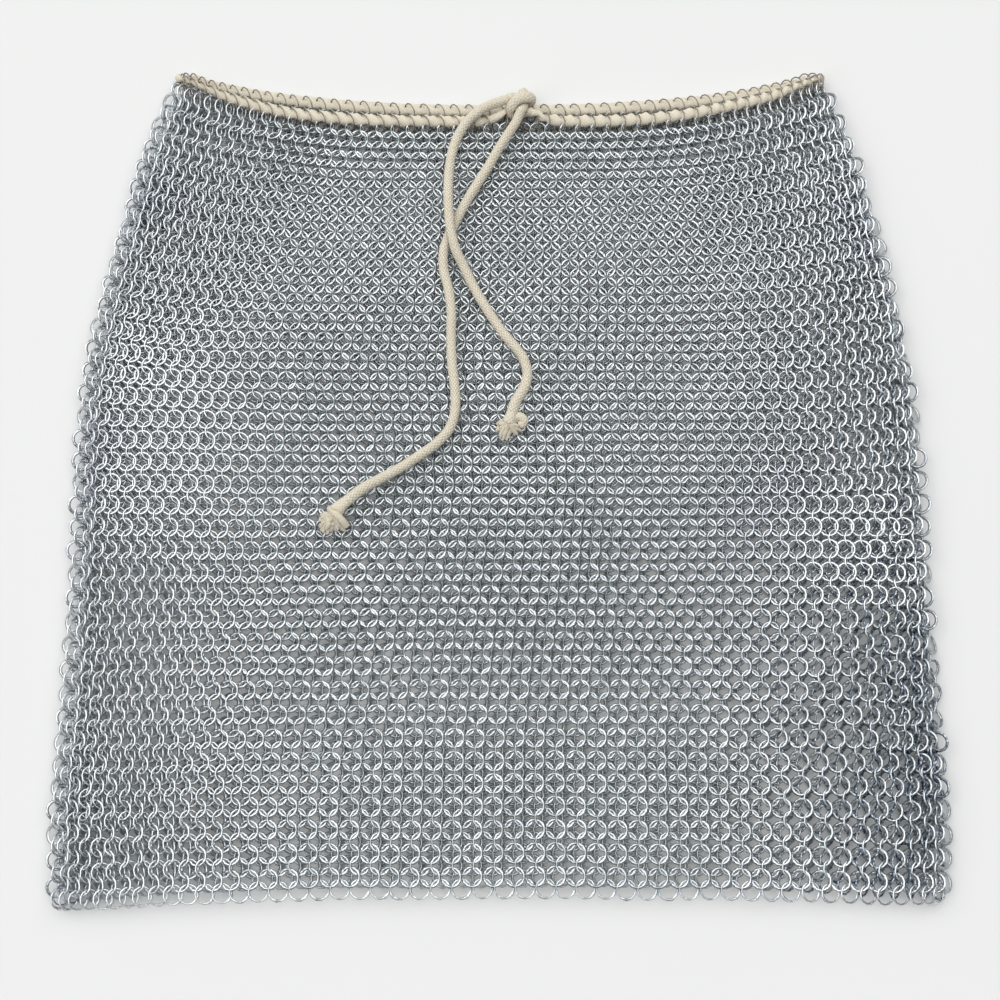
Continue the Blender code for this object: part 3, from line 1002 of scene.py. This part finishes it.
def spreadRuns(route, grid, look):
    # the waist runs are squeezed flat by the rings, but not at the corners or by the knot
    (cornerX, cornerFade), (knotX, knotReach, knotFade) = look["corner"], look["knot"]
    for i, middle in enumerate(route):
        front = middle.z > 8.0
        share = smoothStep((cornerX - abs(middle.x)) / cornerFade)
        if front:
            share *= smoothStep((abs(middle.x - knotX) - knotReach) / knotFade)
        wide = 1 + (look["spread"][0 if front else 1] - 1) * share
        sag = look["sag"] * share if front else 0.0
        for j, p in enumerate(grid[i]):
            grid[i][j] = Vector((p.x, middle.y + (p.y - middle.y) * wide - sag, p.z))


def makeWaistCord(look):
    radius = cordSizes["diameter"] / 2
    grid = tubeGrid(waistLine, lumpyRadius(radius, look["lumps"], 4.0), look["sides"])
    spreadRuns(waistLine, grid, look)
    soilAndShade = soilAndShadeOf(waistLine, grid)
    creaseByRings(waistLine, grid, allRings[0], look, soilAndShade)
    shape = bmesh.new()
    addTube(shape, waistLine, grid, cordSizes["diameter"], soilAndShade)
    made = finishMesh(shape, "waist_drawstring", squeezedCotton)
    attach(made, "root")
    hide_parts("waist_cord")
    return made


cordTails = {
    "sides": 20,
    "lumps": 0.05,
    "fullness": 1.04,       # against the cord's own thickness, and more at the frayed end
    "looseEnd": 0.13,
}


def makeTail(name, node, route, seed, look):
    radius = cordSizes["diameter"] / 2
    lumpy = lumpyRadius(radius, look["lumps"], seed)

    def radiusAt(i, angle):
        loose = look["looseEnd"] * math.exp(-(((len(route) - i) / 24) ** 2))
        return lumpy(i, angle) * (look["fullness"] + loose)

    grid = tubeGrid(route, radiusAt, look["sides"])
    shape = bmesh.new()
    addTube(shape, route, grid, cordSizes["diameter"], soilAndShadeOf(route, grid))
    made = finishMesh(shape, name, braidedCotton)
    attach(made, "root")
    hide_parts(node)
    return made


makeWaistCord(waistCord)
shortTail = makeTail("drawstring_short_end", "cord_end_short", shortLine, 21.0, cordTails)
longTail = makeTail("drawstring_long_end", "cord_end_long", longLine, 37.0, cordTails)
print("cords made")


# The knot: the right run comes up round the left one, and each leaves as a free end.
def makeKnot(look):
    shape = bmesh.new()
    for seed, route in ((3.0, overPass), (9.0, underPass)):
        grid = tubeGrid(route, lumpyRadius(look["radius"], 0.06, seed), 18)
        for i, (tangent, _, _) in enumerate(tubeFrames(route)):
            across = tangent.cross(Vector((0, 0, 1)))
            if route is overPass and across.length > 0.3:
                across.normalize()
                wide = (look["flattened"] - 1) * smoothStep((route[i].z - 14) / 3)
                for j, p in enumerate(grid[i]):
                    grid[i][j] = p + across * (p - route[i]).dot(across) * wide
        addTube(shape, route, grid, look["radius"] * 2, soilAndShadeOf(route, grid))
    made = finishMesh(shape, "drawstring_knot", braidedCotton)
    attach(made, "root")
    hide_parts("waist_knot")
    return made


# Frayed ends: a half hitch and the loose yarns past it.
frayedShort = {
    "neck": ((7.8, 38.6, 18.0), (6.6, 35.4, 17.6), (5.6, 33.0, 16.6)),
    "neckRadius": (3.6, 4.3),
    "hitch": (
        (8.4, 35.2, 16.4), (11.8, 36.3, 17.0), (14.8, 35.2, 16.8), (15.7, 32.8, 16.2),
        (13.6, 30.8, 15.4),
    ),
    "hitchRadius": 3.05,
    "root": (6.0, 33.6, 16.4),
    "yarns": (
        (-2.0, 31.2, 14.2), (-2.2, 29.0, 13.4), (-1.8, 27.0, 14.6), (-0.7, 24.8, 13.4),
        (0.8, 22.6, 14.8),
        (2.6, 21.2, 14.4), (4.4, 21.0, 15.0), (5.6, 22.4, 14.0), (7.2, 25.2, 14.2),
        (9.2, 24.6, 13.6),
        (11.1, 24.8, 14.6), (12.5, 27.2, 13.8), (14.2, 28.0, 14.4), (0.4, 28.6, 16.6),
        (3.2, 26.6, 16.8),
        (6.0, 28.4, 16.8), (8.8, 29.0, 16.4), (-0.6, 31.0, 15.8), (2.0, 23.8, 15.9),
        (10.4, 28.6, 16.0),
        (12.2, 30.4, 16.6), (11.8, 32.8, 15.6),
    ),
    "yarnRadius": 1.45,
    "seed": 5,
}
frayedLong = {
    "neck": ((-99.4, -20.0, 18.0), (-103.2, -23.2, 18.0), (-106.6, -27.0, 17.4)),
    "neckRadius": (3.6, 5.0),
    "hitch": (
        (-110.6, -24.6, 14.6), (-108.6, -26.8, 18.0), (-105.0, -30.0, 19.8), (-101.8, -33.4, 18.6),
        (-99.6, -36.2, 15.6),
    ),
    "hitchRadius": 2.4,
    "root": (-108.4, -30.0, 16.6),
    "yarns": (
        (-116.4, -28.8, 14.6), (-117.2, -30.8, 13.8), (-117.4, -33.0, 14.8), (-117.2, -35.0, 13.6),
        (-117.0, -37.0, 14.8),
        (-116.0, -39.0, 13.8), (-114.6, -40.4, 14.8), (-113.0, -41.2, 13.6), (-111.4, -41.0, 14.6),
        (-110.0, -39.4, 13.8),
        (-115.4, -31.4, 16.8), (-115.2, -34.2, 17.2), (-114.2, -36.8, 17.2), (-112.6, -38.6, 16.8),
        (-111.0, -37.0, 16.6),
        (-113.4, -33.0, 18.0), (-112.0, -35.6, 17.9), (-110.2, -34.6, 17.4), (-113.6, -29.2, 16.8),
        (-106.6, -38.4, 13.8), (-104.4, -38.0, 15.0), (-102.0, -38.4, 14.0), (-99.9, -38.9, 13.8),
        (-103.4, -36.4, 16.2),
    ),
    "yarnRadius": 1.5,
    "seed": 8,
}


def makeFrayed(name, node, look):
    chance = random.Random(look["seed"])
    shape = bmesh.new()
    neck = smoothThrough([Vector(p) for p in look["neck"]], 0.8)
    hitch = smoothThrough([Vector(p) for p in look["hitch"]], 0.8)
    slim, full = look["neckRadius"]
    for route, other, swell, radius in (
        (neck, hitch, full / slim - 1, slim), (hitch, neck, 0.0, look["hitchRadius"]),
    ):
        lumpy = lumpyRadius(radius, 0.08, look["seed"])

        def swollen(i, angle, route=route, swell=swell, lumpy=lumpy):
            return lumpy(i, angle) * (1 + swell * i / (len(route) - 1) * abs(math.cos(angle)))

        grid = tubeGrid(route, swollen, 16)
        # painted shade where the neck and the hitch press on each other
        soilAndShade = [
            [smoothStep((3.9 - min((p - q).length for q in other)) / 1.6) for p in ring]
            for ring in grid
        ]
        addTube(shape, route, grid, look["hitchRadius"] * 2, soilAndShade, roundEnd=0.7)
    root = Vector(look["root"])
    for tip in look["yarns"]:
        end = Vector(tip)
        start = root + Vector([chance.uniform(-1.3, 1.3) for _ in range(3)])
        side = (end - start).cross(Vector((0, 0, 1))).normalized()
        bend = chance.uniform(-1.2, 1.2)
        middle = start.lerp(end, 0.5) + side * bend + Vector((0, 0, chance.uniform(0.2, 1.1)))
        curl = end + side * chance.uniform(-0.8, 0.8)
        route = smoothThrough([start, middle, curl], 1.1)
        count = len(route)
        radius = look["yarnRadius"] * chance.uniform(0.85, 1.15)

        def radiusAt(i, angle, radius=radius, count=count):
            t = i / (count - 1)
            swell = 0.75 + 0.35 * math.sin(math.pi * min(1.0, t * 1.1))
            return radius * swell * (1 + 0.12 * math.sin(angle * 3 + i * 1.3))

        # the yarns are browner towards their roots
        stainsAndShade = [[max(0.0, 0.95 - i / (count - 1) * 1.9)] * 7 for i in range(count)]
        addTube(shape, route, tubeGrid(route, radiusAt, 7), 2 * radius, stainsAndShade, roundEnd=0.5)
    made = finishMesh(shape, name, frayedCotton)
    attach(made, "root")
    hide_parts(node)
    return made


makeKnot(knotLook)
shortFray = makeFrayed("frayed_short_end", "frayed_end_short", frayedShort)
longFray = makeFrayed("frayed_long_end", "frayed_end_long", frayedLong)


print("knot and frayed ends made")


# Geometry Nodes tree that weaves one band: three kinds of rings on the places given to it.
def weaveTree():
    tree, given, result = newGroup(
        "ringWeave",
        (
            ("Geometry", "Geometry"), ("Ring Radius", "Float"), ("Wire Radius", "Float"),
            ("Ring Sides", "Int"), ("Wire Sides", "Int"), ("Lap Width", "Float"),
            ("Rivet Radius", "Float"), ("Band Width", "Float"), ("Band Height", "Float"),
            ("Gripping Wire", "Float"), ("Wobble", "Float"), ("Seed", "Int"),
            ("Solid Finish", "Material"), ("Wire Finish", "Material"),
            ("Gripping Finish", "Material"),
        ),
        (("Geometry", "Geometry"),),
        "GeometryNodeTree",
    )
    add = partial(addNode, tree)
    calc = partial(maths, tree)

    def circle(radius, sides):
        inputs = {"Radius": radius, "Resolution": sides}
        return add("GeometryNodeCurvePrimitiveCircle", inputs, mode="RADIUS").outputs["Curve"]

    def swept(line, profile):
        inputs = {"Curve": line, "Profile Curve": profile}
        return add("GeometryNodeCurveToMesh", inputs).outputs["Mesh"]

    def shaded(mesh):
        inputs = {"Geometry": mesh, "Shade Smooth": True}
        return add("GeometryNodeSetShadeSmooth", inputs).outputs["Geometry"]

    def joined(*meshes):
        node = add("GeometryNodeJoinGeometry")
        for mesh in meshes:
            tree.links.new(mesh, node.inputs[0])
        return node.outputs[0]

    def stored(name, kind):
        node = add("GeometryNodeInputNamedAttribute", {"Name": name}, data_type=kind)
        return node.outputs["Attribute"]

    # a round wire ring, flattened and widened where its ends lap, and its rivet
    ringRadius, wireRadius, rivetRadius = (given[k + " Radius"] for k in ("Ring", "Wire", "Rivet"))
    ringLine = circle(ringRadius, given["Ring Sides"])
    wire = swept(ringLine, circle(wireRadius, given["Wire Sides"]))
    spot = splitVector(tree, add("GeometryNodeInputPosition").outputs[0])
    away = calc("ABSOLUTE", calc("ARCTAN2", spot["Y"], spot["X"]))
    lapShare = remap(tree, away, 0.1, 0.75, 1.0, 0.0, "SMOOTHSTEP")
    reach = calc("SQRT", calc("ADD", *[calc("MULTIPLY", spot[k], spot[k]) for k in "XY"]))
    across = calc("DIVIDE", calc("SUBTRACT", reach, ringRadius), wireRadius)
    widen = calc("MULTIPLY", calc("MULTIPLY", across, given["Lap Width"]), lapShare)
    outwards = add("ShaderNodeCombineXYZ", {
        0: calc("DIVIDE", calc("MULTIPLY", spot["X"], widen), reach),
        1: calc("DIVIDE", calc("MULTIPLY", spot["Y"], widen), reach),
        2: calc("MULTIPLY", calc("MULTIPLY", spot["Z"], lapShare), -0.3),
    })
    pressed = add("GeometryNodeSetPosition", {"Geometry": wire, "Offset": outwards.outputs[0]})
    rivet = add("GeometryNodeMeshCone", fill_type="NGON", inputs={
        "Vertices": 5, "Side Segments": 1, "Radius Top": calc("MULTIPLY", rivetRadius, 0.5),
        "Radius Bottom": rivetRadius, "Depth": calc("MULTIPLY", rivetRadius, 0.9),
    })
    rivetPlace = add("ShaderNodeCombineXYZ", {0: ringRadius, 2: calc("MULTIPLY", wireRadius, 0.55)})
    inputs = {"Geometry": rivet.outputs["Mesh"], "Translation": rivetPlace.outputs[0]}
    moved = add("GeometryNodeTransform", inputs)
    riveted = joined(*[shaded(part.outputs["Geometry"]) for part in (moved, pressed)])

    # a stamped ring with sloping edges, and a thinner ring that grips the cord
    band = add("GeometryNodeCurvePrimitiveQuadrilateral", mode="TRAPEZOID", inputs={
        "Bottom Width": given["Band Width"], "Height": given["Band Height"], "Offset": 0.0,
        "Top Width": calc("MULTIPLY", given["Band Width"], 0.66),
    })
    stampedLine = circle(ringRadius, calc("ADD", given["Ring Sides"], 2))
    stamped = shaded(swept(stampedLine, band.outputs["Curve"]))
    gripping = shaded(swept(ringLine, circle(given["Gripping Wire"], given["Wire Sides"])))

    # the three kinds on their places, each ring with its own small tilt and tone
    inputs = {0: (-1, -1, -1), 1: (1, 1, 1), "Seed": given["Seed"]}
    stir = add("FunctionNodeRandomValue", inputs, data_type="FLOAT_VECTOR")
    amount = calc("MULTIPLY", given["Wobble"], stored("loose", "FLOAT"))
    stirred = add("ShaderNodeVectorMath", {0: stir.outputs[0], "Scale": amount}, operation="SCALE")
    turns = (stored("turning", "FLOAT_VECTOR"), stirred.outputs[0])
    turns = [add("FunctionNodeEulerToRotation", {0: turn}).outputs[0] for turn in turns]
    whole = add("FunctionNodeRotateRotation", dict(enumerate(turns)), rotation_space="LOCAL")
    kindHere = stored("kind", "INT")
    dressed = []
    for kind, ring, finish in (
        (0, riveted, "Wire Finish"), (1, stamped, "Solid Finish"), (2, gripping, "Gripping Finish"),
    ):
        inputs = {2: kindHere, 3: kind}
        chosen = add("FunctionNodeCompare", inputs, data_type="INT", operation="EQUAL")
        spread = add("GeometryNodeInstanceOnPoints", {
            "Points": given["Geometry"], "Instance": ring,
            "Selection": chosen.outputs[0], "Rotation": whole.outputs[0],
        })
        tone = add("FunctionNodeRandomValue", {"Seed": given["Seed"]}, data_type="FLOAT")
        inputs = {
            "Name": "ringTone", "Geometry": spread.outputs["Instances"], "Value": tone.outputs[1],
        }
        kinds = {"data_type": "FLOAT", "domain": "INSTANCE"}
        store = add("GeometryNodeStoreNamedAttribute", inputs, **kinds)
        real = add("GeometryNodeRealizeInstances", {"Geometry": store.outputs["Geometry"]})
        inputs = {"Geometry": real.outputs["Geometry"], "Material": given[finish]}
        dressed.append(add("GeometryNodeSetMaterial", inputs).outputs["Geometry"])
    giveOutputs(tree, result, joined(*dressed))
    return tree


ringWeave = weaveTree()

# The skirt is woven in six bands, each all round.
ringSizes = {
    "Ring Radius": weave["ringRadius"] * mm,
    "Wire Radius": 0.68 * mm,
    "Ring Sides": 12,
    "Wire Sides": 5,
    "Lap Width": 0.45 * mm,
    "Rivet Radius": 0.62 * mm,
    "Band Width": 1.9 * mm,
    "Band Height": 1.0 * mm,
    "Gripping Wire": 0.46 * mm,
    "Wobble": 0.02,
}
bands = (
    ("mail_waist", 0, 12), ("mail_hip", 13, 24), ("mail_seat", 25, 36),
    ("mail_thigh", 37, 48), ("mail_knee", 49, 60), ("mail_hem", 61, 73),
)
bandSeed = 100


def dropEmptySlots(mesh):
    slots = list(mesh.materials)
    used = [0] * len(mesh.polygons)
    mesh.polygons.foreach_get("material_index", used)
    kept = sorted(set(used))
    mesh.materials.clear()
    for k in kept:
        mesh.materials.append(slots[k])
    mesh.polygons.foreach_set("material_index", [kept.index(k) for k in used])


def ringFields(rows):
    # the places of the rings in some rows, and what the tree and the materials read there
    places, turnings, middles, looses, inwards, tarnishAndShadeAmounts, kinds = [], [], [], [], [], [], []
    for row in rows:
        for centre, turning, stir, inward in allRings[row]:
            places.append(centre * mm)
            middles.extend(centre * mm)
            # how much tarnish and painted shade the ring's inner side gets
            tarnishAndShadeAmounts.append(tarnishAndShadeAt(centre.x, centre.y))
            turnings.extend(turning.to_euler("XYZ"))
            looses.append(stir)
            inwards.append(inward)
            kinds.append(2 if row == 0 else 1 - row % 2)
    return places, (
        ("turning", "FLOAT_VECTOR", "vector", turnings),
        ("ringMiddle", "FLOAT_VECTOR", "vector", middles),
        ("loose", "FLOAT", "value", looses), ("inward", "FLOAT", "value", inwards),
        ("tarnishAndShade", "FLOAT", "value", tarnishAndShadeAmounts), ("kind", "INT", "value", kinds),
    )


def weaveBand(name, firstRow, lastRow, sizes, seed):
    places, fields = ringFields(range(firstRow, lastRow + 1))
    mesh = bpy.data.meshes.new(name + "_places")
    mesh.from_pydata(places, [], [])
    for label, kind, part, numbers in fields:
        mesh.attributes.new(label, kind, "POINT").data.foreach_set(part, numbers)
    seedObject = addObject(name + "_places", mesh)
    modifier = seedObject.modifiers.new("weave", "NODES")
    modifier.node_group = ringWeave
    given = {
        **sizes, "Seed": seed,
        "Solid Finish": solidZinc, "Wire Finish": wireZinc, "Gripping Finish": grippingZinc,
    }
    for item in ringWeave.interface.items_tree:
        if item.in_out == "INPUT" and item.name in given:
            modifier[item.identifier] = given[item.name]
    graph = bpy.context.evaluated_depsgraph_get()
    woven = bpy.data.meshes.new_from_object(seedObject.evaluated_get(graph))
    woven.name = name
    dropEmptySlots(woven)
    made = addObject(name, woven)
    seedObject.modifiers.clear()
    bpy.data.objects.remove(seedObject, do_unlink=True)
    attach(made, "root")
    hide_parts("mail_tube")
    return made


for index, (name, firstRow, lastRow) in enumerate(bands):
    made = weaveBand(name, firstRow, lastRow, ringSizes, bandSeed + index)
    faces = sum(len(p.vertices) - 2 for p in made.data.polygons)
    print("woven", name, "triangles", faces)


# Floor and light.
stageLook = {
    "floorSize": 8.0,
    "floorColour": (0.745, 0.745, 0.735),
    "dusk": 0.05,
    "horizon": (0.5, 0.35),     # strength of the glow near the horizon, and how high it reaches
    # a long soft panel overhead: its lean to the right and away, half its width and depth,
    # and the blur of its edge, all in degrees, then its strength
    "panel": (-10.0, 14.0, 50.0, 42.0, 10.0, 1.8),
    "panelColour": (0.98, 0.99, 0.995),
    "seen": 0.9,                # how bright the surroundings look to the camera
    "keyColour": (1.0, 0.98, 0.95),
    "keyPower": 4.0,
    "keySize": 0.9,
    "keyPlace": (-1.3, 1.1, 1.9),
}


def makeFloor(look):
    half = look["floorSize"] / 2
    mesh = bpy.data.meshes.new("studio_floor")
    corners = [(-half, -half, 0), (half, -half, 0), (half, half, 0), (-half, half, 0)]
    mesh.from_pydata(corners, [], [(0, 1, 2, 3)])
    made = addObject("studio_floor", mesh)
    surface, tree, shader = newMaterial("paleFloor")
    cloud = noiseAt(tree, objectPlaces(tree), 2.0, 1.0)
    pale = look["floorColour"]
    warm = tuple(c * 0.985 for c in pale)
    tree.links.new(mixColour(tree, cloud, pale, warm), shader.inputs["Base Color"])
    shader.inputs["Roughness"].default_value = 0.85
    shader.inputs["Specular IOR Level"].default_value = 0.1
    mesh.materials.append(surface)


def makeWorld(look):
    world = bpy.data.worlds.new("studio")
    world.use_nodes = True
    bpy.context.scene.world = world
    tree = world.node_tree
    tree.nodes.clear()
    calc = partial(maths, tree)
    direction = addNode(tree, "ShaderNodeTexCoord").outputs["Generated"]
    right, away, halfWide, halfDeep, blur, strength = look["panel"]
    lean = math.radians(right)
    across = Vector((math.cos(lean), 0.0, -math.sin(lean)))
    middle = Matrix.Rotation(math.radians(-away), 3, across) @ across.cross(Vector((0, 1, 0)))
    shares = []
    for axis, half in ((across, halfWide), (middle.cross(across), halfDeep)):
        inputs = {0: direction, 1: axis}
        towards = addNode(tree, "ShaderNodeVectorMath", inputs, operation="DOT_PRODUCT")
        edge = [math.sin(math.radians(half + way * blur)) for way in (-1, 1)]
        off = calc("ABSOLUTE", towards.outputs["Value"])
        shares.append(remap(tree, off, *edge, 1.0, 0.0, "SMOOTHSTEP"))
    height = splitVector(tree, direction)["Z"]
    above = calc("GREATER_THAN", height, 0.0)
    glow = calc("MULTIPLY", calc("MULTIPLY", *shares), above)
    glow = calc("MULTIPLY_ADD", glow, strength, look["dusk"])
    rim, reach = look["horizon"]
    low = remap(tree, calc("ABSOLUTE", height), 0.0, reach, rim, 0.0, "SMOOTHSTEP")
    inputs = {"Color": look["panelColour"], "Strength": calc("ADD", glow, low)}
    lit = addNode(tree, "ShaderNodeBackground", inputs)
    inputs = {"Color": (1.0, 1.0, 1.0), "Strength": look["seen"]}
    seen = addNode(tree, "ShaderNodeBackground", inputs)
    fromCamera = addNode(tree, "ShaderNodeLightPath").outputs["Is Camera Ray"]
    shown = {0: fromCamera, 1: lit.outputs[0], 2: seen.outputs[0]}
    choose = addNode(tree, "ShaderNodeMixShader", shown)
    addNode(tree, "ShaderNodeOutputWorld", {"Surface": choose.outputs[0]})


def makeKey(look):
    data = bpy.data.lights.new("key", "AREA")
    data.shape = "DISK"
    data.size = look["keySize"]
    data.energy = look["keyPower"]
    data.color = look["keyColour"]
    key = addObject("key", data)
    key.location = look["keyPlace"]
    key.rotation_euler = (-Vector(look["keyPlace"])).to_track_quat("-Z", "Y").to_euler()


bpy.context.scene.view_settings.view_transform = "Standard"
makeFloor(stageLook)
makeWorld(stageLook)
makeKey(stageLook)
print("floor and light ready")
